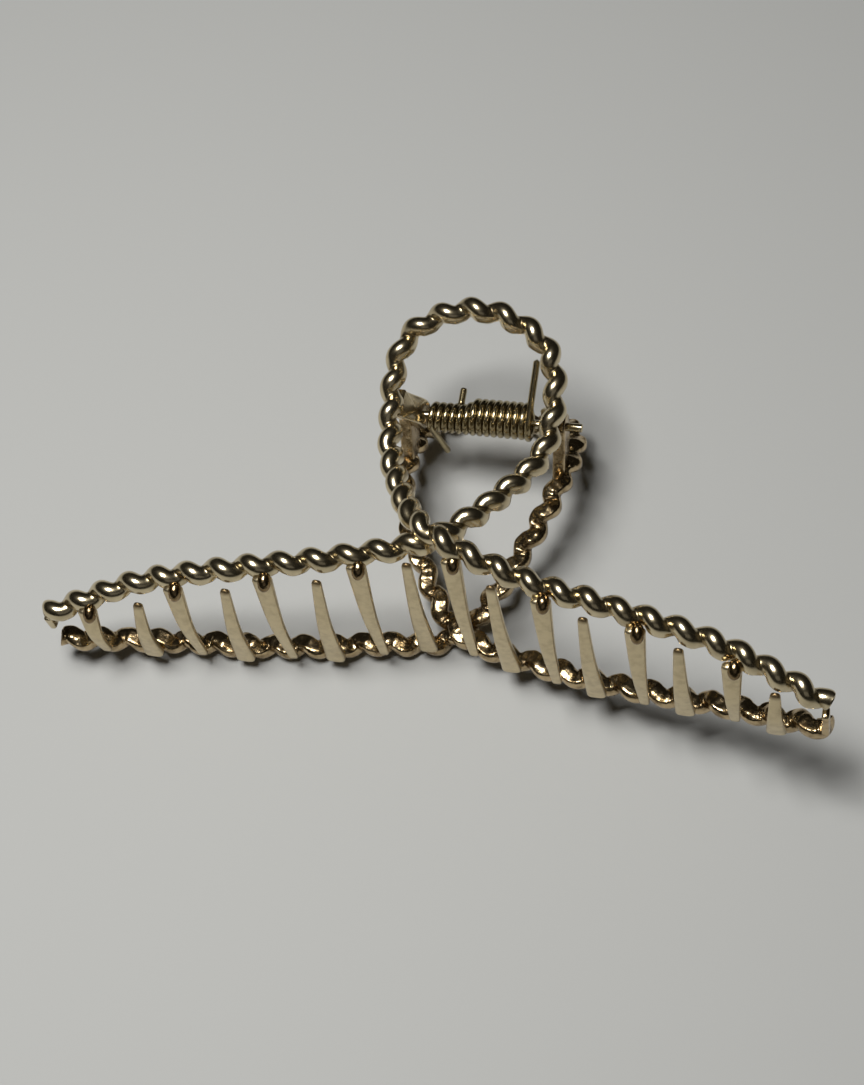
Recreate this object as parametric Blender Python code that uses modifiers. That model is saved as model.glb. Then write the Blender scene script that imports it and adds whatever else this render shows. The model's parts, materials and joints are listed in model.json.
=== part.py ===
# Metal claw clip: two twisted-rope castings on one hinge pin, held shut by a torsion spring.
#
# The clip is laid out in its own frame first, in metres:
#   x runs along the hinge, y from the teeth towards the handles, z out of the middle plane
#   towards the front jaw. The hinge axis is the x axis, and it passes through the origin.
# An empty then lays the whole clip on its rear jaw, with +Z up, the lowest point at Z = 0 and
# the origin below the middle of the clip's box.

import math

import bmesh
import bpy
from mathutils import Vector

# --- Driving dimensions (metres, degrees) ---------------------------------------------------
ROPE_RADIUS = 0.00175        # over the crests of the twisted rope
CROSSING_STEP = 0.0010       # how far each strand stands off the other where the rope crosses itself
STEPS_PER_SPAN = 7           # straight pieces of rope between two route points

ARM_TIP = Vector((0.0540, -0.0411, 0.0035))
ARM_OUTER = Vector((0.0400, -0.0371, 0.0084))
ARM_MIDDLE = Vector((0.0260, -0.0348, 0.0110))
ARM_INNER = Vector((0.0120, -0.0321, 0.0121))
CROSSING = Vector((0.0, -0.0280, 0.0133))
LOOP_LOWER = Vector((0.0068, -0.0187, 0.0091))
LOOP_WIDEST = Vector((0.0113, -0.0073, 0.0062))
LOOP_SHOULDER = Vector((0.0101, 0.0060, 0.0104))
LOOP_TOP = Vector((0.0, 0.0094, 0.01366))
HANDLE_SHIFT = Vector((-0.0008, 0.0, 0.0))   # the upper end of the loop stands a little to the left

STOP_THICKNESS = 0.0014      # flat stop on one end of each jaw
STOP_WIDTH = 0.0024
STOP_ABOVE = 0.0004          # from the rope's centre outwards
STOP_REACH = 0.00485         # from the rope's centre towards the other jaw
STOP_PROUD = 0.0002          # past the rope's cut end

TOOTH_COUNT = 8
TOOTH_FIRST_X = -0.0471
TOOTH_PITCH = 0.01265
TOOTH_ROOT_WIDTH = 0.0027
TOOTH_ROOT_THICKNESS = 0.0015
TOOTH_TIP_SCALE = 0.50       # tip section against root section
TOOTH_DROP = 0.00195         # the root's centre below its rail's centre
TOOTH_BOW = 0.00105          # extra drop at the middle of the tooth
TOOTH_ROOT_RISE = 0.0001     # the root end stands this far outside the rail's centre
TOOTH_TIP_DROP = 0.00225     # the tip curls back up a little
TOOTH_TIP_SHORT = 0.0010     # the tip stops this far before the other rail's centre
TOOTH_MIDDLE_DROP = 0.0005   # extra drop of the tips beside the crossing
TOOTH_MIDDLE_X = 0.0080
REAR_TOOTH_LEAN = 0.0017     # tips of the rear jaw's left teeth lean this far to the right

LUG_THICKNESS = 0.0018
FRONT_LUG_X = 0.00925        # the front jaw's lugs stand inside the rear jaw's
REAR_LUG_X = 0.01135
LUG_EAR_RADIUS = 0.0020
LUG_ROOT_LOW = Vector((0.0, -0.0052, 0.0068))
LUG_ROOT_HIGH = Vector((0.0, -0.0006, 0.0068))
LUG_ARC_STEPS = 12
LUG_BORE_RADIUS = 0.00085

PIN_RADIUS = 0.00062
PIN_HALF_LENGTH = 0.0145
PIN_EDGE = 0.00012

WIRE_RADIUS = 0.0005
COIL_HALF_LENGTH = 0.0073
COIL_MIDDLE_X = -0.00025
COIL_TURNS = 14
COIL_POINTS_PER_TURN = 12
SMALL_TURNS = 5              # the left turns are wound tighter
SMALL_COIL_RADIUS = 0.00176
LARGE_COIL_RADIUS = 0.00226
SMALL_COIL_CENTRE = (-0.00015, -0.00010)
LARGE_COIL_CENTRE = (0.00025, 0.00015)
FRONT_LEG_TIP = Vector((0.0077, 0.0058, 0.0078))
REAR_LEG_TIP = Vector((-0.0062, -0.0010, -0.0076))
TAIL_X = -0.0037             # short wire end that stands up behind the coil
TAIL_TIP = (0.0046, 0.0010)

LIE_PITCH = -1.45           # tilt about the hinge axis when the clip lies on its rear jaw
LIE_ROLL = -7.10            # tilt about the length of the handle
LIE_CENTRE = (0.0001, 0.0158, 0.01522)   # hinge centre: the box is centred, its contacts rubbed flat

TABLE_WIDTH = 0.2            # the cutter below Z = 0
TABLE_DEPTH = 0.02

COLLECTION_NAME = "claw_clip"


# --- Scene, materials and small helpers -----------------------------------------------------
def clear_scene():
    for old in list(bpy.data.objects):
        bpy.data.objects.remove(old, do_unlink=True)


def make_collection(name):
    made = bpy.data.collections.new(name)
    bpy.context.scene.collection.children.link(made)
    return made


def make_metal(name, color, roughness):
    material = bpy.data.materials.new(name)
    material.use_nodes = True
    shader = material.node_tree.nodes["Principled BSDF"]
    shader.inputs["Base Color"].default_value = (*color, 1.0)
    shader.inputs["Roughness"].default_value = roughness
    shader.inputs["Metallic"].default_value = 1.0
    return material


def smooth_route(points, steps):
    """Points on the Catmull-Rom curve through the given points, with centripetal spacing."""
    ends = [2 * points[0] - points[1]] + list(points) + [2 * points[-1] - points[-2]]
    route = []
    for before, start, end, after in zip(ends, ends[1:], ends[2:], ends[3:]):
        t0 = 0.0
        t1 = t0 + math.sqrt((start - before).length)
        t2 = t1 + math.sqrt((end - start).length)
        t3 = t2 + math.sqrt((after - end).length)
        for step in range(steps):
            t = t1 + (t2 - t1) * step / steps
            a = before.lerp(start, (t - t0) / (t1 - t0))
            b = start.lerp(end, (t - t1) / (t2 - t1))
            c = end.lerp(after, (t - t2) / (t3 - t2))
            low = a.lerp(b, (t - t0) / (t2 - t0))
            high = b.lerp(c, (t - t1) / (t3 - t1))
            route.append(low.lerp(high, (t - t1) / (t2 - t1)))
    route.append(points[-1].copy())
    return route


def tangent_angle(centre, radius, target, side):
    """Where a straight line from the target touches a circle round the hinge, as an angle."""
    across = Vector((target.y - centre[0], target.z - centre[1]))
    return math.atan2(across.y, across.x) + side * math.acos(radius / across.length)


def mesh_from_curve(curve_object):
    """Turns a curve with filled caps into a closed mesh object, and removes the curve."""
    graph = bpy.context.evaluated_depsgraph_get()
    mesh = bpy.data.meshes.new_from_object(curve_object.evaluated_get(graph))
    welded = bmesh.new()
    welded.from_mesh(mesh)
    bmesh.ops.remove_doubles(welded, verts=welded.verts, dist=1e-6)
    bmesh.ops.recalc_face_normals(welded, faces=welded.faces)
    welded.to_mesh(mesh)
    welded.free()
    solid = bpy.data.objects.new(curve_object.name + "_solid", mesh)
    solid.matrix_world = curve_object.matrix_world
    bpy.context.scene.collection.objects.link(solid)
    bpy.data.objects.remove(curve_object, do_unlink=True)
    return solid


def bar_along(name, points, radius, scales=None, profile=None):
    """A closed bar along the points: round, or with the profile curve as its section."""
    curve = bpy.data.curves.new(name, "CURVE")
    curve.dimensions = "3D"
    curve.use_fill_caps = True
    if profile:
        curve.bevel_mode = "OBJECT"
        curve.bevel_object = profile
    else:
        curve.bevel_depth = radius
        curve.bevel_resolution = 2
    spline = curve.splines.new("POLY")
    spline.points.add(len(points) - 1)
    for index, point in enumerate(points):
        spline.points[index].co = (*point, 1.0)
        spline.points[index].radius = scales[index] if scales else 1.0
    bar = bpy.data.objects.new(name, curve)
    bpy.context.scene.collection.objects.link(bar)
    bpy.context.view_layer.update()
    return mesh_from_curve(bar)


def apply_boolean(target, other, operation, joins_itself=False):
    """Cuts or joins the other object into the target and removes the other object."""
    modifier = target.modifiers.new(operation.lower(), "BOOLEAN")
    modifier.object = other
    modifier.operation = operation
    modifier.solver = "EXACT"
    modifier.use_self = joins_itself
    bpy.context.view_layer.update()
    graph = bpy.context.evaluated_depsgraph_get()
    mesh = bpy.data.meshes.new_from_object(target.evaluated_get(graph))
    target.modifiers.clear()
    target.data = mesh
    bpy.data.objects.remove(other, do_unlink=True)


def finish_part(solid, name, collection, material, parent):
    """Names the part, shades it, and hangs it on the empty that lays the clip down."""
    solid.name = name
    solid.data.name = name
    solid.data.materials.clear()
    solid.data.materials.append(material)
    solid.data.shade_smooth()
    solid.data.set_sharp_from_angle(angle=math.radians(35))
    for holder in list(solid.users_collection):
        holder.objects.unlink(solid)
    collection.objects.link(solid)
    solid.parent = parent


# --- Jaws -----------------------------------------------------------------------------------
def mirrored(point):
    return Vector((-point.x, point.y, point.z))


def rope_route():
    """One rope: left arm, under itself, round the loop, over itself, right arm."""
    arm = [ARM_TIP, ARM_OUTER, ARM_MIDDLE, ARM_INNER]
    loop = [LOOP_LOWER, LOOP_WIDEST]
    step = Vector((0.0, 0.0, CROSSING_STEP))
    points = [mirrored(point) for point in arm] + [CROSSING - step] + loop
    points += [point + HANDLE_SHIFT for point in (LOOP_SHOULDER, LOOP_TOP, mirrored(LOOP_SHOULDER))]
    points += [mirrored(point) for point in reversed(loop)]
    points += [CROSSING + step] + list(reversed(arm))
    return smooth_route(points, STEPS_PER_SPAN)


def rail_point(x):
    """Centre of an arm's rope at the given x, read from the route's straight pieces."""
    arm = [CROSSING, ARM_INNER, ARM_MIDDLE, ARM_OUTER, ARM_TIP]
    route = smooth_route(arm, STEPS_PER_SPAN)
    reach = abs(x)
    for near, far in zip(route, route[1:]):
        if near.x <= reach <= far.x:
            found = near.lerp(far, (reach - near.x) / (far.x - near.x))
            return Vector((x, found.y, found.z))
    return Vector((x, ARM_TIP.y, ARM_TIP.z))


def tooth_profile():
    """Rounded flat section of a tooth at its root."""
    curve = bpy.data.curves.new("tooth_section", "CURVE")
    curve.dimensions = "2D"
    spline = curve.splines.new("POLY")
    corners = 8
    spline.points.add(corners - 1)
    for index in range(corners):
        angle = 2 * math.pi * (index + 0.5) / corners
        across = 0.5 * TOOTH_ROOT_THICKNESS * math.cos(angle) / math.cos(math.pi / corners)
        along = 0.5 * TOOTH_ROOT_WIDTH * math.sin(angle) / math.cos(math.pi / corners)
        spline.points[index].co = (across, along, 0.0, 1.0)
    spline.use_cyclic_u = True
    section = bpy.data.objects.new("tooth_section", curve)
    bpy.context.scene.collection.objects.link(section)
    return section


def make_tooth(x, lean, profile):
    """A flat tooth that runs across, below its own rail and below the other jaw's rail."""
    rail = rail_point(x)
    far_z = TOOTH_TIP_SHORT - rail.z
    lean *= min(max(x / (0.5 * TOOTH_PITCH), 0.0), 1.0)
    tip_drop = TOOTH_TIP_DROP + TOOTH_MIDDLE_DROP * math.exp(-(x / TOOTH_MIDDLE_X) ** 2)
    root = Vector((x, rail.y - TOOTH_DROP, rail.z + TOOTH_ROOT_RISE))
    middle = Vector((x - 0.5 * lean, root.y - TOOTH_BOW, 0.5 * (root.z + far_z)))
    tip = Vector((x - lean, rail.y - tip_drop, far_z))
    points = smooth_route([root, middle, tip], 4)
    lengths = [0.0]
    for near, far in zip(points, points[1:]):
        lengths.append(lengths[-1] + (far - near).length)
    scales = [1.0 + (TOOTH_TIP_SCALE - 1.0) * length / lengths[-1] for length in lengths]
    return bar_along("tooth", points, 0.0, scales, profile)


def make_lug(x):
    """A flat lug from the loop's side to a round ear on the hinge axis."""
    outline = [LUG_ROOT_HIGH.yz, LUG_ROOT_LOW.yz]
    start = tangent_angle((0.0, 0.0), LUG_EAR_RADIUS, LUG_ROOT_LOW, 1) % (2 * math.pi)
    finish = tangent_angle((0.0, 0.0), LUG_EAR_RADIUS, LUG_ROOT_HIGH, -1) % (2 * math.pi)
    sweep = finish + 2 * math.pi - start
    for step in range(LUG_ARC_STEPS + 1):
        angle = start + sweep * step / LUG_ARC_STEPS
        outline.append(Vector((math.cos(angle), math.sin(angle))) * LUG_EAR_RADIUS)
    curve = bpy.data.curves.new("lug", "CURVE")
    curve.dimensions = "2D"
    curve.fill_mode = "BOTH"
    curve.extrude = 0.5 * LUG_THICKNESS
    spline = curve.splines.new("POLY")
    spline.points.add(len(outline) - 1)
    for index, point in enumerate(outline):
        spline.points[index].co = (point.x, point.y, 0.0, 1.0)
    spline.use_cyclic_u = True
    lug = bpy.data.objects.new("lug", curve)
    bpy.context.scene.collection.objects.link(lug)
    lug.rotation_euler = (math.radians(90), 0.0, math.radians(90))
    lug.location = (x, 0.0, 0.0)
    bpy.context.view_layer.update()
    return mesh_from_curve(lug)


def make_stop():
    """A flat plate on the left end of the jaw, which reaches towards the other jaw's end."""
    bpy.ops.mesh.primitive_cube_add(size=1.0)
    stop = bpy.context.object
    stop.name = "stop"
    stop.scale = (STOP_THICKNESS, STOP_WIDTH, STOP_ABOVE + STOP_REACH)
    bpy.ops.object.transform_apply(location=False, rotation=False, scale=True)
    across = -ARM_TIP.x - STOP_PROUD + 0.5 * STOP_THICKNESS
    stop.location = (across, ARM_TIP.y, ARM_TIP.z + 0.5 * (STOP_ABOVE - STOP_REACH))
    bpy.context.view_layer.update()
    return stop


def make_jaw(lug_x, lean):
    """One casting: rope, stop, teeth and lugs in one solid, seen as the front jaw."""
    jaw = bar_along("rope", rope_route(), ROPE_RADIUS)
    apply_boolean(jaw, make_stop(), "UNION", True)
    profile = tooth_profile()
    for index in range(TOOTH_COUNT):
        x = TOOTH_FIRST_X + index * TOOTH_PITCH
        apply_boolean(jaw, make_tooth(x, lean, profile), "UNION")
    bpy.data.objects.remove(profile, do_unlink=True)
    for x in (-lug_x, lug_x):
        apply_boolean(jaw, make_lug(x), "UNION")
    return jaw


def make_rod(name, radius, half_length, sides):
    """A cylinder along the hinge axis."""
    bpy.ops.mesh.primitive_cylinder_add(vertices=sides, radius=radius, depth=2 * half_length)
    rod = bpy.context.object
    rod.name = name
    rod.rotation_euler = (0.0, math.radians(90), 0.0)
    bpy.ops.object.transform_apply(location=False, rotation=True, scale=True)
    return rod


def cut_bores(jaw):
    apply_boolean(jaw, make_rod("bore_cutter", LUG_BORE_RADIUS, 1.5 * PIN_HALF_LENGTH, 24), "DIFFERENCE")


def turn_half_round(jaw):
    """The rear jaw is the same shape turned half a turn about the handle's length."""
    for vertex in jaw.data.vertices:
        vertex.co = (-vertex.co.x, vertex.co.y, -vertex.co.z)


def rub_rest_flats(jaw, cutters):
    """Planes off the crests of the rear jaw that touch the table."""
    bpy.ops.mesh.primitive_cube_add(size=1.0)
    table = bpy.context.object
    table.name = "table_cutter"
    table.scale = (TABLE_WIDTH, TABLE_WIDTH, TABLE_DEPTH)
    bpy.ops.object.transform_apply(location=False, rotation=False, scale=True)
    table.location = (0.0, 0.0, -0.5 * TABLE_DEPTH)
    for holder in list(table.users_collection):
        holder.objects.unlink(table)
    cutters.objects.link(table)
    table.hide_render = True
    table.display_type = "WIRE"
    modifier = jaw.modifiers.new("rest_flats", "BOOLEAN")
    modifier.object = table
    modifier.operation = "DIFFERENCE"
    modifier.solver = "EXACT"


# --- Pin and spring -------------------------------------------------------------------------
def make_pin():
    pin = make_rod("hinge_pin", PIN_RADIUS, PIN_HALF_LENGTH, 20)
    rim = pin.modifiers.new("rim", "BEVEL")
    rim.width = PIN_EDGE
    rim.segments = 2
    rim.limit_method = "ANGLE"
    return pin


def coil_point(x, centre, radius, angle):
    return Vector((x, centre[0] + radius * math.cos(angle), centre[1] + radius * math.sin(angle)))


def spring_route():
    """Rear leg, left turns, right turns and front leg of the spring wire."""
    start = tangent_angle(SMALL_COIL_CENTRE, SMALL_COIL_RADIUS, REAR_LEG_TIP, -1)
    finish = tangent_angle(LARGE_COIL_CENTRE, LARGE_COIL_RADIUS, FRONT_LEG_TIP, 1)
    start = start % (2 * math.pi)
    finish = finish % (2 * math.pi) - 2 * math.pi * COIL_TURNS
    steps = COIL_TURNS * COIL_POINTS_PER_TURN
    points = [REAR_LEG_TIP]
    for step in range(steps + 1):
        share = step / steps
        angle = start + (finish - start) * share
        growth = min(max(share * COIL_TURNS - SMALL_TURNS, 0.0), 1.0)
        radius = SMALL_COIL_RADIUS + (LARGE_COIL_RADIUS - SMALL_COIL_RADIUS) * growth
        centre = [
            small + (large - small) * growth
            for small, large in zip(SMALL_COIL_CENTRE, LARGE_COIL_CENTRE)
        ]
        x = COIL_MIDDLE_X + COIL_HALF_LENGTH * (2 * share - 1)
        points.append(coil_point(x, centre, radius, angle))
    points.append(FRONT_LEG_TIP)
    return points


def make_spring():
    spring = bar_along("spring_wire", spring_route(), WIRE_RADIUS)
    tip = Vector((TAIL_X, TAIL_TIP[0], TAIL_TIP[1]))
    base = Vector((TAIL_X, 0.4 * TAIL_TIP[0], 0.4 * TAIL_TIP[1]))
    apply_boolean(spring, bar_along("spring_tail", [base, tip], WIRE_RADIUS), "UNION")
    return spring


# --- Assembly -------------------------------------------------------------------------------
def main():
    clear_scene()
    parts = make_collection(COLLECTION_NAME)
    cutters = make_collection("cutters")
    gold = make_metal("gold_plate", (0.50, 0.38, 0.20), 0.22)
    bright_gold = make_metal("bright_gold_plate", (0.52, 0.41, 0.24), 0.22)
    steel = make_metal("brassed_steel", (0.42, 0.36, 0.26), 0.28)
    wire = make_metal("brassed_wire", (0.38, 0.31, 0.19), 0.30)

    lying = bpy.data.objects.new("lying_clip", None)
    lying.rotation_euler = (math.radians(LIE_PITCH), math.radians(LIE_ROLL), 0.0)
    lying.location = LIE_CENTRE
    parts.objects.link(lying)

    front = make_jaw(FRONT_LUG_X, 0.0)
    cut_bores(front)
    finish_part(front, "front_jaw", parts, bright_gold, lying)

    rear = make_jaw(REAR_LUG_X, REAR_TOOTH_LEAN)
    cut_bores(rear)
    turn_half_round(rear)
    finish_part(rear, "rear_jaw", parts, gold, lying)
    rub_rest_flats(rear, cutters)

    finish_part(make_pin(), "hinge_pin", parts, steel, lying)
    finish_part(make_spring(), "torsion_spring", parts, wire, lying)


main()
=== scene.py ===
import json
import math

import bpy
import numpy as np
from mathutils import Matrix, Vector


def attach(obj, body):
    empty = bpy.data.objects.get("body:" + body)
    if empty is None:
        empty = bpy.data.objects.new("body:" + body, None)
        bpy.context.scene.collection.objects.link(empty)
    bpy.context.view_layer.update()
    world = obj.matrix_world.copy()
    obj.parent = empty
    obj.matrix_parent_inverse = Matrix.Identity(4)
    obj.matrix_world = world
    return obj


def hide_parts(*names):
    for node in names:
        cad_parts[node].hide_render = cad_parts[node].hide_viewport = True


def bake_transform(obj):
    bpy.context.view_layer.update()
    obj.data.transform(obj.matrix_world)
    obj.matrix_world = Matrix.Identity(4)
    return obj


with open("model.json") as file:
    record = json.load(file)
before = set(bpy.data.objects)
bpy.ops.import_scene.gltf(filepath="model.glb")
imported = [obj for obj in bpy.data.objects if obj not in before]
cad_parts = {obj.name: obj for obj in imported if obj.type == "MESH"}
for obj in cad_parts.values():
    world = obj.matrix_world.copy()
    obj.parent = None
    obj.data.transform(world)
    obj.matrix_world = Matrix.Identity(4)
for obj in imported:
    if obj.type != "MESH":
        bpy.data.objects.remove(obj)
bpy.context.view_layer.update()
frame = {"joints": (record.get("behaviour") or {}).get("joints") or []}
mm = 0.001

# The clip has its own axes: x along the hinge, y from the teeth to the handles, z out to the front jaw.
# It lies tilted on its rear jaw, so the hinge joint gives its place and the slope of its x axis.
hinge = frame["joints"][0]
hingeCentre = np.array(hinge["pos_m"])
liePitch = math.radians(-1.45)      # turn about the hinge as it lies
alongHinge = -np.array(hinge["axis"])
levelOut = np.array([-alongHinge[2], 0.0, alongHinge[0]])
clipAxes = np.array([
    alongHinge,
    math.cos(liePitch) * np.array([0.0, 1.0, 0.0]) + math.sin(liePitch) * levelOut,
    math.cos(liePitch) * levelOut - math.sin(liePitch) * np.array([0.0, 1.0, 0.0]),
])


def inPlace(points):
    # clip axes to the frame: hinge centre + x * first axis + y * second axis + z * third axis
    return hingeCentre + np.asarray(points) @ clipAxes


# lines and shells

def smoothLine(points, perSpan):
    # centripetal Catmull-Rom through the points, one array for each span
    points = np.asarray(points, float)
    padded = np.vstack([2 * points[0] - points[1], points, 2 * points[-1] - points[-2]])
    spans = []
    for a, b, c, d in zip(padded, padded[1:], padded[2:], padded[3:]):
        t1 = np.linalg.norm(b - a) ** 0.5
        t2 = t1 + np.linalg.norm(c - b) ** 0.5
        t3 = t2 + np.linalg.norm(d - c) ** 0.5
        t = np.linspace(t1, t2, perSpan, endpoint=False)[:, None]
        ab = a + (b - a) * t / t1
        bc = b + (c - b) * (t - t1) / (t2 - t1)
        cd = c + (d - c) * (t - t2) / (t3 - t2)
        low = ab + (bc - ab) * t / t2
        high = bc + (cd - bc) * (t - t1) / (t3 - t1)
        spans.append(low + (high - low) * (t - t1) / (t2 - t1))
    return np.vstack(spans + [points[-1:]])


def evenLine(line, step):
    # the same line with its stations a step apart, and their distance from its start
    gaps = np.linalg.norm(np.diff(line, axis=0), axis=1)
    far = np.concatenate([[0.0], np.cumsum(gaps)])
    at = np.linspace(0.0, far[-1], int(round(far[-1] / step)) + 1)
    return np.stack([np.interp(at, far, line[:, k]) for k in range(3)], axis=1), at


def unit(vectors):
    return vectors / np.linalg.norm(vectors, axis=-1, keepdims=True)


def sideAndUp(line, guide):
    # two directions square to the line: side = tangent x guide, up = side x tangent
    tangent = unit(np.gradient(line, axis=0))
    side = unit(np.cross(tangent, np.asarray(guide, float)))
    return side, np.cross(side, tangent)


def shellFromRings(rings, hollows=None, material=0):
    # rings of points joined by four-sided faces; each end closes on its own middle point
    count, around = rings.shape[:2]
    points = np.vstack([rings.reshape(-1, 3), rings[0].mean(axis=0), rings[-1].mean(axis=0)])
    i, j = np.meshgrid(np.arange(count - 1), np.arange(around), indexing="ij")
    k = (j + 1) % around
    quads = np.stack([i * around + j, i * around + k, (i + 1) * around + k, (i + 1) * around + j], axis=-1)
    quads = quads.reshape(-1, 4)
    a = np.arange(around)
    b = (a + 1) % around
    first, last = count * around, count * around + 1
    start = np.stack([np.full(around, first), b, a], axis=1)
    finish = np.stack([np.full(around, last), (count - 1) * around + a, (count - 1) * around + b], axis=1)
    fans = np.vstack([start, finish])
    triangles = points[np.vstack([quads[:, [0, 1, 2]], quads[:, [0, 2, 3]], fans])]
    volume = np.einsum("ij,ij->", triangles[:, 0], np.cross(triangles[:, 1], triangles[:, 2]))
    if volume < 0:                  # inside out, so the faces run the other way
        quads, fans = quads[:, ::-1], fans[:, ::-1]
    hollow = np.zeros(len(points))
    if hollows is not None:         # 0 on the crests, 1 at the bottom of the grooves and on dark tips
        hollow[:count * around] = hollows
    return {"points": points, "quads": quads, "fans": fans, "hollow": hollow, "material": material}


def makePiece(name, shells, materials, turned=False):
    # one object from several closed shells, with the hollows kept as an attribute
    points, faces, marks, hollows, offset = [], [], [], [], 0
    for shell in shells:
        points.append(shell["points"])
        hollows.append(shell["hollow"])
        shellFaces = (shell["quads"] + offset).tolist() + (shell["fans"] + offset).tolist()
        faces += shellFaces
        marks.append(np.full(len(shellFaces), shell["material"]))
        offset += len(shell["points"])
    points = np.vstack(points)
    if turned:                      # half a turn about the handle's length
        points = points * np.array([-1.0, 1.0, -1.0])
    placed = inPlace(points)
    placed[:, 2] = np.maximum(placed[:, 2], 0.0)      # crests rubbed flat where the clip rests
    mesh = bpy.data.meshes.new(name)
    mesh.from_pydata(placed.tolist(), [], faces)
    mesh.update()
    mesh.polygons.foreach_set("material_index", np.concatenate(marks).astype(np.int32))
    attribute = mesh.attributes.new("hollow", "FLOAT", "POINT")
    attribute.data.foreach_set("value", np.concatenate(hollows).astype(np.float32))
    mesh.shade_smooth()
    mesh.set_sharp_from_angle(angle=math.radians(40))
    for material in materials:
        mesh.materials.append(material)
    piece = bpy.data.objects.new(name, mesh)
    bpy.context.scene.collection.objects.link(piece)
    print(name, len(mesh.polygons), "faces")
    return piece


def tubeRings(line, radius, around, guide=(0.0, 0.0, 1.0)):
    # point = line + radius * (cos a * side + sin a * up)
    side, up = sideAndUp(line, guide)
    a = np.linspace(0.0, 2 * math.pi, around, endpoint=False)
    ring = np.cos(a)[None, :, None] * side[:, None, :] + np.sin(a)[None, :, None] * up[:, None, :]
    return line[:, None, :] + np.broadcast_to(radius, len(line))[:, None, None] * ring


def roundedEnds(radius, at, reach):
    # a quarter circle at both ends: radius * sqrt(1 - (1 - distance / reach)^2)
    near = np.clip(np.minimum(at, at[-1] - at) / reach, 0.0, 1.0)
    return radius * np.sqrt(np.clip(1 - (1 - near) ** 2, 0.0004, 1.0))


# plated surface, shared by every metal of the clip

def makeSurfaceGroup():
    group = bpy.data.node_groups.new("platedSurface", "ShaderNodeTree")
    sockets = (
        ("Place", "NodeSocketVector", None), ("Hollow", "NodeSocketFloat", 0.0),
        ("Blotch Size", "NodeSocketFloat", 300.0), ("Blotch Share", "NodeSocketFloat", 0.45),
        ("Grain Size", "NodeSocketFloat", 2500.0),
        ("Smooth", "NodeSocketFloat", 0.15), ("Rough", "NodeSocketFloat", 0.35),
        ("Wave Depth", "NodeSocketFloat", 0.00002), ("Grain Depth", "NodeSocketFloat", 0.000004),
    )
    for name, kind, value in sockets:
        socket = group.interface.new_socket(name=name, in_out="INPUT", socket_type=kind)
        if value is not None:
            socket.default_value = value
    for name, kind in (("Tarnish", "NodeSocketFloat"), ("Roughness", "NodeSocketFloat"),
                       ("Normal", "NodeSocketVector")):
        group.interface.new_socket(name=name, in_out="OUTPUT", socket_type=kind)
    nodes, links = group.nodes, group.links
    enter, leave = nodes.new("NodeGroupInput"), nodes.new("NodeGroupOutput")
    blotch, grain = nodes.new("ShaderNodeTexNoise"), nodes.new("ShaderNodeTexNoise")
    for noise, size, detail in ((blotch, "Blotch Size", 3.0), (grain, "Grain Size", 4.0)):
        links.new(enter.outputs["Place"], noise.inputs["Vector"])
        links.new(enter.outputs[size], noise.inputs["Scale"])
        noise.inputs["Detail"].default_value = detail
    # tarnish = hollow + part of the blotches
    spots = nodes.new("ShaderNodeMapRange")
    spots.inputs["From Min"].default_value, spots.inputs["From Max"].default_value = 0.42, 0.72
    links.new(blotch.outputs["Fac"], spots.inputs["Value"])
    part = nodes.new("ShaderNodeMath")
    part.operation = "MULTIPLY"
    links.new(spots.outputs["Result"], part.inputs[0])
    links.new(enter.outputs["Blotch Share"], part.inputs[1])
    both = nodes.new("ShaderNodeMath")
    both.operation = "ADD"
    both.use_clamp = True
    links.new(part.outputs[0], both.inputs[0])
    links.new(enter.outputs["Hollow"], both.inputs[1])
    links.new(both.outputs[0], leave.inputs["Tarnish"])
    # roughness runs from smooth to rough with the tarnish and the grain
    mixed = nodes.new("ShaderNodeMath")
    mixed.operation = "MULTIPLY_ADD"
    mixed.inputs[1].default_value = 0.5
    links.new(both.outputs[0], mixed.inputs[0])
    share = nodes.new("ShaderNodeMath")
    share.operation = "MULTIPLY"
    share.inputs[1].default_value = 0.4
    links.new(grain.outputs["Fac"], share.inputs[0])
    links.new(share.outputs[0], mixed.inputs[2])
    rough = nodes.new("ShaderNodeMapRange")
    links.new(mixed.outputs[0], rough.inputs["Value"])
    links.new(enter.outputs["Smooth"], rough.inputs["To Min"])
    links.new(enter.outputs["Rough"], rough.inputs["To Max"])
    links.new(rough.outputs["Result"], leave.inputs["Roughness"])
    # soft waves of the casting first, then its grain
    wave, fine = nodes.new("ShaderNodeBump"), nodes.new("ShaderNodeBump")
    links.new(blotch.outputs["Fac"], wave.inputs["Height"])
    links.new(enter.outputs["Wave Depth"], wave.inputs["Distance"])
    links.new(grain.outputs["Fac"], fine.inputs["Height"])
    links.new(enter.outputs["Grain Depth"], fine.inputs["Distance"])
    links.new(wave.outputs["Normal"], fine.inputs["Normal"])
    links.new(fine.outputs["Normal"], leave.inputs["Normal"])
    return group


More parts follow.
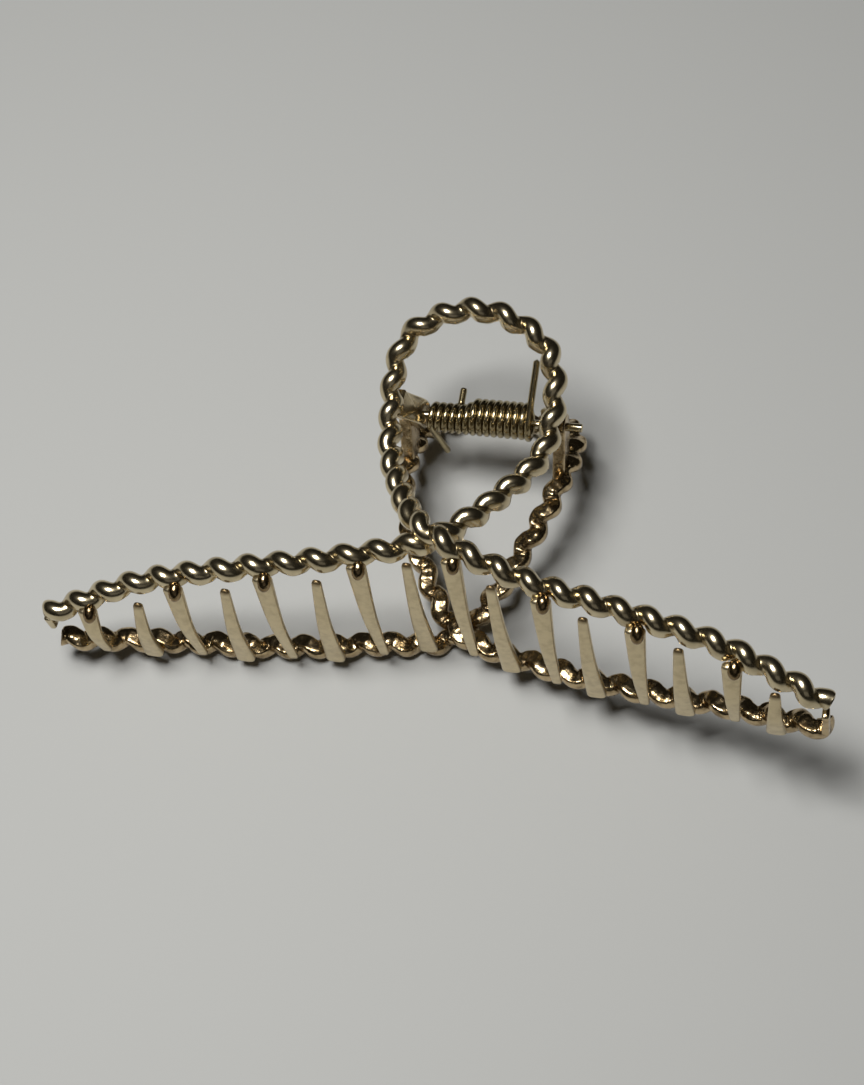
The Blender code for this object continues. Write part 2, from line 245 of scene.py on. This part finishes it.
def platedMetal(name, bright, tarnished, settings, readsHollow=True):
    material = bpy.data.materials.new(name)
    material.use_nodes = True
    nodes, links = material.node_tree.nodes, material.node_tree.links
    shader = nodes["Principled BSDF"]
    shader.inputs["Metallic"].default_value = 1.0
    place = nodes.new("ShaderNodeTexCoord")
    surface = nodes.new("ShaderNodeGroup")
    surface.node_tree = surfaceGroup
    for key, value in settings.items():
        surface.inputs[key].default_value = value
    links.new(place.outputs["Object"], surface.inputs["Place"])
    if readsHollow:
        hollow = nodes.new("ShaderNodeAttribute")
        hollow.attribute_name = "hollow"
        links.new(hollow.outputs["Fac"], surface.inputs["Hollow"])
    tint = nodes.new("ShaderNodeMix")
    tint.data_type = "RGBA"
    tint.inputs["A"].default_value = (*bright, 1.0)
    tint.inputs["B"].default_value = (*tarnished, 1.0)
    links.new(surface.outputs["Tarnish"], tint.inputs["Factor"])
    links.new(tint.outputs["Result"], shader.inputs["Base Color"])
    links.new(surface.outputs["Roughness"], shader.inputs["Roughness"])
    links.new(surface.outputs["Normal"], shader.inputs["Normal"])
    return material


surfaceGroup = makeSurfaceGroup()
polish = {"Blotch Size": 420.0, "Blotch Share": 0.45, "Grain Size": 2600.0, "Smooth": 0.17, "Rough": 0.36,
          "Wave Depth": 0.00003, "Grain Depth": 0.000004}
aged = {"Blotch Size": 760.0, "Blotch Share": 0.80, "Grain Size": 2600.0, "Smooth": 0.15, "Rough": 0.38,
        "Wave Depth": 0.00017, "Grain Depth": 0.000006}
satin = {"Blotch Size": 900.0, "Blotch Share": 0.25, "Grain Size": 4200.0, "Smooth": 0.30, "Rough": 0.50,
         "Wave Depth": 0.00002, "Grain Depth": 0.000007}
drawn = {"Blotch Size": 700.0, "Blotch Share": 0.45, "Grain Size": 3000.0, "Smooth": 0.16, "Rough": 0.34,
         "Wave Depth": 0.00001, "Grain Depth": 0.000003}
frontGold = platedMetal("frontGold", (0.66, 0.56, 0.37), (0.24, 0.18, 0.09), polish)
# the rear jaw's darker colour pair is partly the rougher, tarnished back of the casting and partly painted
# shade for the jaw lying under the front one
rearTarnishAndShadeGold = platedMetal("rearTarnishAndShadeGold", (0.56, 0.43, 0.25), (0.15, 0.095, 0.04), aged)
# painted shade: the knobs are the rope's own gold, but their dark brown colour pair stands in for the dark
# room they reflect under the rail
knobPaintedShadeGold = platedMetal("knobPaintedShadeGold", (0.30, 0.21, 0.11), (0.10, 0.065, 0.03), aged)
toothGold = platedMetal("toothGold", (0.66, 0.55, 0.35), (0.20, 0.14, 0.07), satin)
pinGold = platedMetal("pinGold", (0.60, 0.52, 0.35), (0.36, 0.29, 0.17), drawn)
wireGold = platedMetal("wireGold", (0.41, 0.34, 0.20), (0.15, 0.11, 0.055), drawn)
print("metals made")


# twisted rope, sizes in millimetres on the clip's own axes

rope = {
    "armTip": (54.0, -41.1, 3.5), "armOuter": (40.0, -37.1, 8.4), "armMiddle": (26.0, -34.8, 11.0),
    "armInner": (12.0, -32.1, 12.1), "crossing": (0.0, -28.0, 13.3), "crossingStep": 1.0,
    "loopLower": (6.8, -18.7, 9.1), "loopWidest": (11.3, -7.3, 6.2), "loopShoulder": (10.1, 6.0, 10.4),
    "loopTop": (0.0, 9.4, 13.66), "handleShift": -0.8,
    "barRadius": 1.30, "windRadius": 0.50, "pitches": (4.42, 4.47, 4.20), "pitchChange": 60,
    "firstTurn": math.radians(146), "loopShare": (0.26, 0.74), "step": 0.135, "around": 36,
    "backDepth": 1.20, "backRelief": 0.5, "backSquareness": 3.2, "backPits": 0.10,
    "cutLength": 1.4, "cutEdge": 0.22, "grooveReach": 1.20, "grooveFade": 0.45, "groovePower": 1.2,
}


def mirrored(point):
    return (-point[0], point[1], point[2])


def armLine():
    # from the crossing out to the tip of the right arm
    names = ("crossing", "armInner", "armMiddle", "armOuter", "armTip")
    return smoothLine([rope[name] for name in names], 60)


def ropeLine():
    # left arm, under itself, round the loop, over itself, right arm
    arm = [rope[name] for name in ("armTip", "armOuter", "armMiddle", "armInner")]
    loop = [rope[name] for name in ("loopLower", "loopWidest")]
    handle = [rope["loopShoulder"], rope["loopTop"], mirrored(rope["loopShoulder"])]
    x, y, z = rope["crossing"]
    under, over = (x, y, z - rope["crossingStep"]), (x, y, z + rope["crossingStep"])
    points = [mirrored(p) for p in arm] + [under] + loop
    points += [(px + rope["handleShift"], py, pz) for px, py, pz in handle]
    points += [mirrored(p) for p in reversed(loop)] + [over] + list(reversed(arm))
    return evenLine(smoothLine(points, 60), rope["step"])


def ropeShell():
    # a bar whose centre runs round the route: wind * (cos turn * side - sin turn * up)
    # its outer half is round: radius * (cos a * side + sin a * up)
    # its inner half has steep walls and a shallow back: cos^(2/q) a across, sin^(2/q) a down to the back
    line, at = ropeLine()
    side, up = sideAndUp(line, (0.0, 0.0, 1.0))
    share = at / at[-1]
    pitch = rope["pitches"][0]      # left arm, loop and right arm are wound a little differently
    for place, before, after in zip(rope["loopShare"], rope["pitches"], rope["pitches"][1:]):
        pitch = pitch + (after - before) / (1 + np.exp(-(share - place) * rope["pitchChange"]))
    turn = rope["firstTurn"] + 2 * math.pi * np.cumsum(np.gradient(at) / pitch)
    uneven = 1 + 0.012 * np.sin(0.63 * turn) + 0.010 * np.sin(1.71 * turn + 1.0)
    wind = rope["windRadius"] * (1 + 0.05 * np.sin(0.41 * turn + 2.0))
    centre = line + wind[:, None] * (np.cos(turn)[:, None] * side - np.sin(turn)[:, None] * up)
    edge = rope["cutEdge"]          # the cut ends have a small rounded edge
    fromEnd = np.clip(np.minimum(at, at[-1] - at) / edge, 0.0, 1.0)
    radius = rope["barRadius"] * uneven - edge * (1 - np.sqrt(1 - (1 - fromEnd) ** 2))
    barSide, barUp = sideAndUp(centre, (0.0, 0.0, 1.0))
    a = np.linspace(0.0, 2 * math.pi, rope["around"], endpoint=False)
    cosine, sine = np.cos(a), np.sin(a)
    power = 2 / rope["backSquareness"]
    inner = sine < -1e-6
    across = np.where(inner, np.sign(cosine) * np.abs(cosine) ** power, cosine)
    height = -wind * np.sin(turn)
    back = rope["backRelief"] * height - rope["backDepth"]
    pits = np.sin(2.9 * at[:, None] + 3 * a) * np.sin(4.7 * at[:, None] - 2 * a)
    down = (back - height)[:, None] * np.abs(sine) ** power + rope["backPits"] * pits
    rise = np.where(inner, down * (radius / rope["barRadius"])[:, None], radius[:, None] * sine)
    rings = centre[:, None, :] + (radius[:, None] * across)[:, :, None] * barSide[:, None, :]
    rings = rings + rise[:, :, None] * barUp[:, None, :]
    tangent = unit(np.gradient(line, axis=0))
    offset = rings - line[:, None, :]
    atCut = np.clip(1 - np.minimum(at, at[-1] - at) / rope["cutLength"], 0.0, 1.0)
    slant = np.einsum("ijk,ik->ij", offset, tangent) * atCut[:, None]
    rings = rings - slant[:, :, None] * tangent[:, None, :]     # the ends are cut square to the route
    away = np.linalg.norm(offset, axis=2)
    hollow = np.clip((rope["grooveReach"] - away) / rope["grooveFade"], 0.0, 1.0) ** rope["groovePower"]
    return shellFromRings(rings * mm, hollow.reshape(-1), material=0)


# teeth, stops and lugs

teeth = {
    "count": 8, "firstX": -47.1, "pitch": 12.65, "rootWidth": 2.8, "tipWidth": 1.3,
    "rootThickness": 1.45, "tipThickness": 0.80, "drop": 1.95, "bow": 1.05, "rootRise": 0.1,
    "tipDrop": 2.25, "tipShort": 1.0, "middleDrop": 0.5, "middleX": 8.0, "rearLean": 1.7,
    "rootRound": 0.70, "tipRound": 0.70, "darkTip": 1.1,
    "knobX": 0.35, "knobPlace": (-2.30, -0.62), "knobLong": (-0.81, -0.59), "knobRadius": (0.95, 1.40, 1.00),
    "step": 0.18, "around": 28, "squareness": 3.4,
}


def toothShells(x, lean, knobs):
    # a flat tapered blade: half width * cos^(2/q) a across, half thickness * sin^(2/q) a through
    arm = armLine()
    y, z = (np.interp(abs(x), arm[:, 0], arm[:, k]) for k in (1, 2))
    farZ = teeth["tipShort"] - z
    lean = lean * min(max(2 * x / teeth["pitch"], 0.0), 1.0)
    low = y - teeth["drop"]
    tipDrop = teeth["tipDrop"] + teeth["middleDrop"] * math.exp(-(x / teeth["middleX"]) ** 2)
    path = [(x, low, z + teeth["rootRise"]), (x - 0.5 * lean, low - teeth["bow"], 0.5 * (z + farZ)),
            (x - lean, y - tipDrop, farZ)]
    line, at = evenLine(smoothLine(path, 24), teeth["step"])
    share = at / at[-1]
    width = 0.5 * (teeth["rootWidth"] + (teeth["tipWidth"] - teeth["rootWidth"]) * share)
    thickness = 0.5 * (teeth["rootThickness"] + (teeth["tipThickness"] - teeth["rootThickness"]) * share)
    reach = np.where(share < 0.5, teeth["rootRound"], teeth["tipRound"])
    soft = roundedEnds(1.0, at, reach)
    across, through = sideAndUp(line, (1.0, 0.0, 0.0))[::-1]
    a = np.linspace(0.0, 2 * math.pi, teeth["around"], endpoint=False)
    power = 2 / teeth["squareness"]
    cosine = np.sign(np.cos(a)) * np.abs(np.cos(a)) ** power
    sine = np.sign(np.sin(a)) * np.abs(np.sin(a)) ** power
    rings = line[:, None, :] + (width * soft)[:, None, None] * cosine[None, :, None] * across[:, None, :]
    rings = rings + (thickness * soft)[:, None, None] * sine[None, :, None] * through[:, None, :]
    atTip = np.clip((at - at[-1]) / teeth["darkTip"] + 1, 0.0, 1.0)
    blade = shellFromRings(rings * mm, np.repeat(atTip, teeth["around"]), material=1)
    return [blade] + ([knobShell(np.array([x, y, z]))] if knobs else [])


def knobShell(railCentre):
    # an oval drop under the rail: centre + x radius * sin b cos a + long radius * cos b, from pole to pole
    down = np.array([0.0, *teeth["knobPlace"]])
    long, across = unit(np.array([0.0, *teeth["knobLong"]])), np.array([1.0, 0.0, 0.0])
    b = np.linspace(0.02, math.pi - 0.02, 21)[:, None, None]
    a = np.linspace(0.0, 2 * math.pi, 32, endpoint=False)[None, :, None]
    wide, tall, deep = teeth["knobRadius"]
    rings = wide * np.sin(b) * np.cos(a) * across + deep * np.sin(b) * np.sin(a) * np.cross(across, long)
    middle = railCentre + down + teeth["knobX"] * across
    rings = middle + rings + tall * np.cos(b) * long
    return shellFromRings(rings * mm, material=2)


stop = {"thickness": 1.2, "width": 2.2, "above": 0.3, "frontReach": 2.8, "rearReach": 4.8, "proud": 0.1,
        "taper": 0.2, "edge": 0.3, "around": 40, "squareness": 3.6}


def stopShell(reach):
    # a flat plate from the cut end of one arm to the other jaw: half size * cos^(2/q) a, sin^(2/q) a
    tipX, tipY, tipZ = rope["armTip"]
    at = np.linspace(0.0, stop["above"] + reach, 49)
    soft = roundedEnds(1.0, at, stop["edge"]) * (1 - stop["taper"] * at / at[-1])
    a = np.linspace(0.0, 2 * math.pi, stop["around"], endpoint=False)
    power = 2 / stop["squareness"]
    x = 0.5 * stop["thickness"] * np.sign(np.cos(a)) * np.abs(np.cos(a)) ** power
    y = 0.5 * stop["width"] * np.sign(np.sin(a)) * np.abs(np.sin(a)) ** power
    rings = np.stack([soft[:, None] * x, soft[:, None] * y, -at[:, None] * np.ones_like(a)], axis=-1)
    rings = rings + np.array([-tipX - stop["proud"] + 0.5 * stop["thickness"], tipY, tipZ + stop["above"]])
    return shellFromRings(rings * mm, material=0)


lug = {"thickness": 1.8, "frontX": 9.25, "rearX": 11.35, "earRadius": 2.0, "rootLow": (-5.2, 6.8),
       "rootHigh": (-0.6, 6.8), "edge": 0.35, "rootX": 11.2, "bendZ": (1.6, 6.2)}


def leavingAngle(centre, radius, target, side):
    # where a straight line from the target touches a circle round the hinge
    y, z = target[0] - centre[0], target[1] - centre[1]
    return math.atan2(z, y) + side * math.acos(radius / math.hypot(y, z))


def lugShell(x):
    # a plate from the loop's side to a round ear on the hinge; its rim is a half round of the edge radius
    # each flat face is a fan from its middle point
    start = leavingAngle((0.0, 0.0), lug["earRadius"], lug["rootLow"], 1) % (2 * math.pi)
    finish = leavingAngle((0.0, 0.0), lug["earRadius"], lug["rootHigh"], -1) % (2 * math.pi) + 2 * math.pi
    arc = np.linspace(start, finish, 41)
    ear = np.stack([np.cos(arc), np.sin(arc)], axis=1) * lug["earRadius"]
    outline = np.vstack([lug["rootHigh"], lug["rootLow"], ear])
    closed = np.vstack([outline, outline[:1]])
    far = np.concatenate([[0.0], np.cumsum(np.linalg.norm(np.diff(closed, axis=0), axis=1))])
    at = np.linspace(0.0, far[-1], 120, endpoint=False)
    outline = np.stack([np.interp(at, far, closed[:, k]) for k in range(2)], axis=1)
    ahead = np.roll(outline, -1, axis=0) - np.roll(outline, 1, axis=0)
    inward = unit(np.stack([-ahead[:, 1], ahead[:, 0]], axis=1))
    if np.sum((outline.mean(axis=0) - outline) * inward) < 0:
        inward = -inward
    b = np.linspace(-math.pi / 2, math.pi / 2, 9)
    half = 0.5 * lug["thickness"] - lug["edge"]
    b = np.concatenate([b[:5], b[4:]])
    shift = np.sign(np.arange(10) - 4.5) * half + lug["edge"] * np.sin(b)
    inset = lug["edge"] * (1 - np.cos(b))
    flat = outline[None, :, :] + inset[:, None, None] * inward[None, :, :]
    low, high = lug["bendZ"]        # the plate bends out to the loop's strand above the ear
    rise = np.clip((flat[:, :, 1:] - low) / (high - low), 0.0, 1.0)
    bent = (math.copysign(lug["rootX"], x) - x) * rise ** 2 * (3 - 2 * rise)
    rings = np.concatenate([x + shift[:, None, None] + bent, flat], axis=2)
    return shellFromRings(rings * mm, material=0)


def jawPiece(name, lugX, lean, reach, gold, turned):
    shells = [ropeShell(), stopShell(reach)]
    for index in range(teeth["count"]):
        shells += toothShells(teeth["firstX"] + teeth["pitch"] * index, lean, knobs=not turned)
    shells += [lugShell(-lugX), lugShell(lugX)]
    return makePiece(name, shells, [gold, toothGold, knobPaintedShadeGold], turned)


frontJaw = jawPiece("frontJawCasting", lug["frontX"], 0.0, stop["frontReach"], frontGold, False)
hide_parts("front_jaw")
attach(frontJaw, "front_half")

rearJaw = jawPiece("rearJawCasting", lug["rearX"], teeth["rearLean"], stop["rearReach"], rearTarnishAndShadeGold, True)
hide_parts("rear_jaw")
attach(rearJaw, "rear_half")
print("jaws made")


# hinge pin

pin = {"radius": 0.62, "halfLength": 14.5, "edge": 0.14, "around": 40}


def pinShell():
    line = np.stack([np.linspace(-pin["halfLength"], pin["halfLength"], 400)] + [np.zeros(400)] * 2, axis=1)
    at = line[:, 0] - line[0, 0]
    inset = np.clip(1 - np.minimum(at, at[-1] - at) / pin["edge"], 0.0, 1.0)
    radius = pin["radius"] - pin["edge"] * (1 - np.sqrt(1 - inset ** 2))
    return shellFromRings(tubeRings(line, radius, pin["around"]) * mm)


hingePin = makePiece("hingePinTurned", [pinShell()], [pinGold])
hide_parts("hinge_pin")
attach(hingePin, "rear_half")
print("pin made")


# torsion spring

spring = {
    "wire": 0.50, "middleX": -0.25, "halfLength": 7.3, "turns": 14, "smallTurns": 5,
    "perTurn": 40, "around": 18, "step": 0.30, "endRound": 0.4,
    "smallRadius": 1.76, "largeRadius": 2.26, "smallCentre": (-0.15, -0.10), "largeCentre": (0.25, 0.15),
    "frontTip": (7.7, 5.8, 7.8), "rearTip": (-6.2, -1.0, -7.6),
    "tailX": -3.7, "tailTip": (4.6, 1.0), "tailStart": 0.4, "tailStep": 0.1,
    "proud": 0.30, "proudTurns": 0.6, "insideRadius": 2.1, "insideFade": 0.5, "twistX": (-5.9, 7.05),
}


def springLine():
    # coil: centre + radius * (cos angle, sin angle), wound from the rear leg to the front leg
    turns = spring["turns"]
    start = leavingAngle(spring["smallCentre"], spring["smallRadius"], spring["rearTip"][1:], -1)
    finish = leavingAngle(spring["largeCentre"], spring["largeRadius"], spring["frontTip"][1:], 1)
    start, finish = start % (2 * math.pi), finish % (2 * math.pi) - 2 * math.pi * turns
    share = np.linspace(0.0, 1.0, turns * spring["perTurn"] + 1)
    angle = start + (finish - start) * share
    growth = np.clip(share * turns - spring["smallTurns"], 0.0, 1.0)
    radius = spring["smallRadius"] + (spring["largeRadius"] - spring["smallRadius"]) * growth
    radius = radius + spring["proud"] * np.clip((share - 1) * turns / spring["proudTurns"] + 1, 0.0, 1.0)
    small, large = np.array(spring["smallCentre"]), np.array(spring["largeCentre"])
    centre = small + (large - small) * growth[:, None]
    alongCoil = spring["middleX"] + spring["halfLength"] * (2 * share - 1)
    coil = np.stack([alongCoil, centre[:, 0] + radius * np.cos(angle),
                     centre[:, 1] + radius * np.sin(angle)], axis=1)
    rearLeg = np.linspace(spring["rearTip"], coil[0], 40)[:-1]
    frontLeg = np.linspace(coil[-1], spring["frontTip"], 50)[1:]
    return np.vstack([rearLeg, coil, frontLeg])


def springShells():
    line, at = evenLine(springLine(), spring["step"])
    tangent = unit(np.gradient(line, axis=0))
    side = unit(np.cross(tangent, np.array([1.0, 0.0, 0.0])))
    up = np.cross(side, tangent)
    a = np.linspace(0.0, 2 * math.pi, spring["around"], endpoint=False)
    ring = np.cos(a)[None, :, None] * side[:, None, :] + np.sin(a)[None, :, None] * up[:, None, :]
    radius = roundedEnds(spring["wire"], at, spring["endRound"])
    wire = line[:, None, :] + radius[:, None, None] * ring
    fromAxis = np.hypot(wire[:, :, 1], wire[:, :, 2])
    inside = np.clip((spring["insideRadius"] - fromAxis) / spring["insideFade"], 0.0, 1.0)
    tip = np.array([spring["tailX"], *spring["tailTip"]])
    base = np.array([spring["tailX"], spring["tailStart"] * tip[1], spring["tailStart"] * tip[2]])
    tail, tailAt = evenLine(np.linspace(base, tip, 12), spring["tailStep"])
    tailRadius = roundedEnds(spring["wire"], tailAt, spring["endRound"])
    tailRings = tubeRings(tail, tailRadius, spring["around"], (1.0, 0.0, 0.0))
    return [shellFromRings(wire * mm, inside.reshape(-1)), shellFromRings(tailRings * mm)]


torsionSpring = makePiece("torsionSpringWire", springShells(), [wireGold])
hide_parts("torsion_spring")
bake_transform(torsionSpring)
print("spring made")


# floor, light and camera

studio = {
    "floorSize": 3.0, "floorColor": (0.44, 0.445, 0.435), "roomColor": (0.012, 0.011, 0.009),
    "eye": (0.0353, -0.1431, 0.2713), "lookAt": (-0.0039, -0.0026, 0.0100), "lean": -4.41, "lens": 87.5,
}
softboxes = {
    "overhead": {"from": (-0.22, -0.12, 0.96), "distance": 0.46, "size": (0.16, 0.14), "power": 2.35,
                 "color": (1.0, 0.99, 0.97)},
    "front": {"from": (0.30, -0.75, 0.60), "distance": 0.70, "size": (0.50, 0.30), "power": 0.06,
              "color": (1.0, 0.99, 0.97)},
}


def makeFloor():
    bpy.ops.mesh.primitive_plane_add(size=studio["floorSize"])
    floor = bpy.context.object
    floor.name = "floor"
    material = bpy.data.materials.new("paleFloor")
    material.use_nodes = True
    shader = material.node_tree.nodes["Principled BSDF"]
    shader.inputs["Base Color"].default_value = (*studio["floorColor"], 1.0)
    shader.inputs["Roughness"].default_value = 0.7
    shader.inputs["Specular IOR Level"].default_value = 0.2
    floor.data.materials.append(material)


def makeSoftbox(name, settings):
    light = bpy.data.lights.new(name, "AREA")
    light.shape = "RECTANGLE"
    light.size, light.size_y = settings["size"]
    light.energy = settings["power"]
    light.color = settings["color"]
    lamp = bpy.data.objects.new(name, light)
    lamp.location = Vector(settings["from"]).normalized() * settings["distance"]
    lamp.rotation_euler = lamp.location.to_track_quat("Z", "Y").to_euler()
    bpy.context.scene.collection.objects.link(lamp)


def makeRoom():
    world = bpy.data.worlds.new("darkRoom")
    world.use_nodes = True
    world.node_tree.nodes["Background"].inputs["Color"].default_value = (*studio["roomColor"], 1.0)
    bpy.context.scene.world = world


def makeCamera():
    camera = bpy.data.cameras.new("camera")
    camera.lens = studio["lens"]
    camera.sensor_fit = "HORIZONTAL"
    camera.sensor_width = 36.0
    camera.clip_start = 0.01
    holder = bpy.data.objects.new("camera", camera)
    eye, target = Vector(studio["eye"]), Vector(studio["lookAt"])
    level = (target - eye).to_track_quat("-Z", "Y").to_matrix().to_4x4()
    lean = Matrix.Rotation(math.radians(studio["lean"]), 4, "Z")
    holder.matrix_world = Matrix.Translation(eye) @ level @ lean
    bpy.context.scene.collection.objects.link(holder)
    bpy.context.scene.camera = holder


makeFloor()
makeRoom()
for name, settings in softboxes.items():
    makeSoftbox(name, settings)
makeCamera()
bpy.context.scene.view_settings.view_transform = "Standard"
print("studio made")
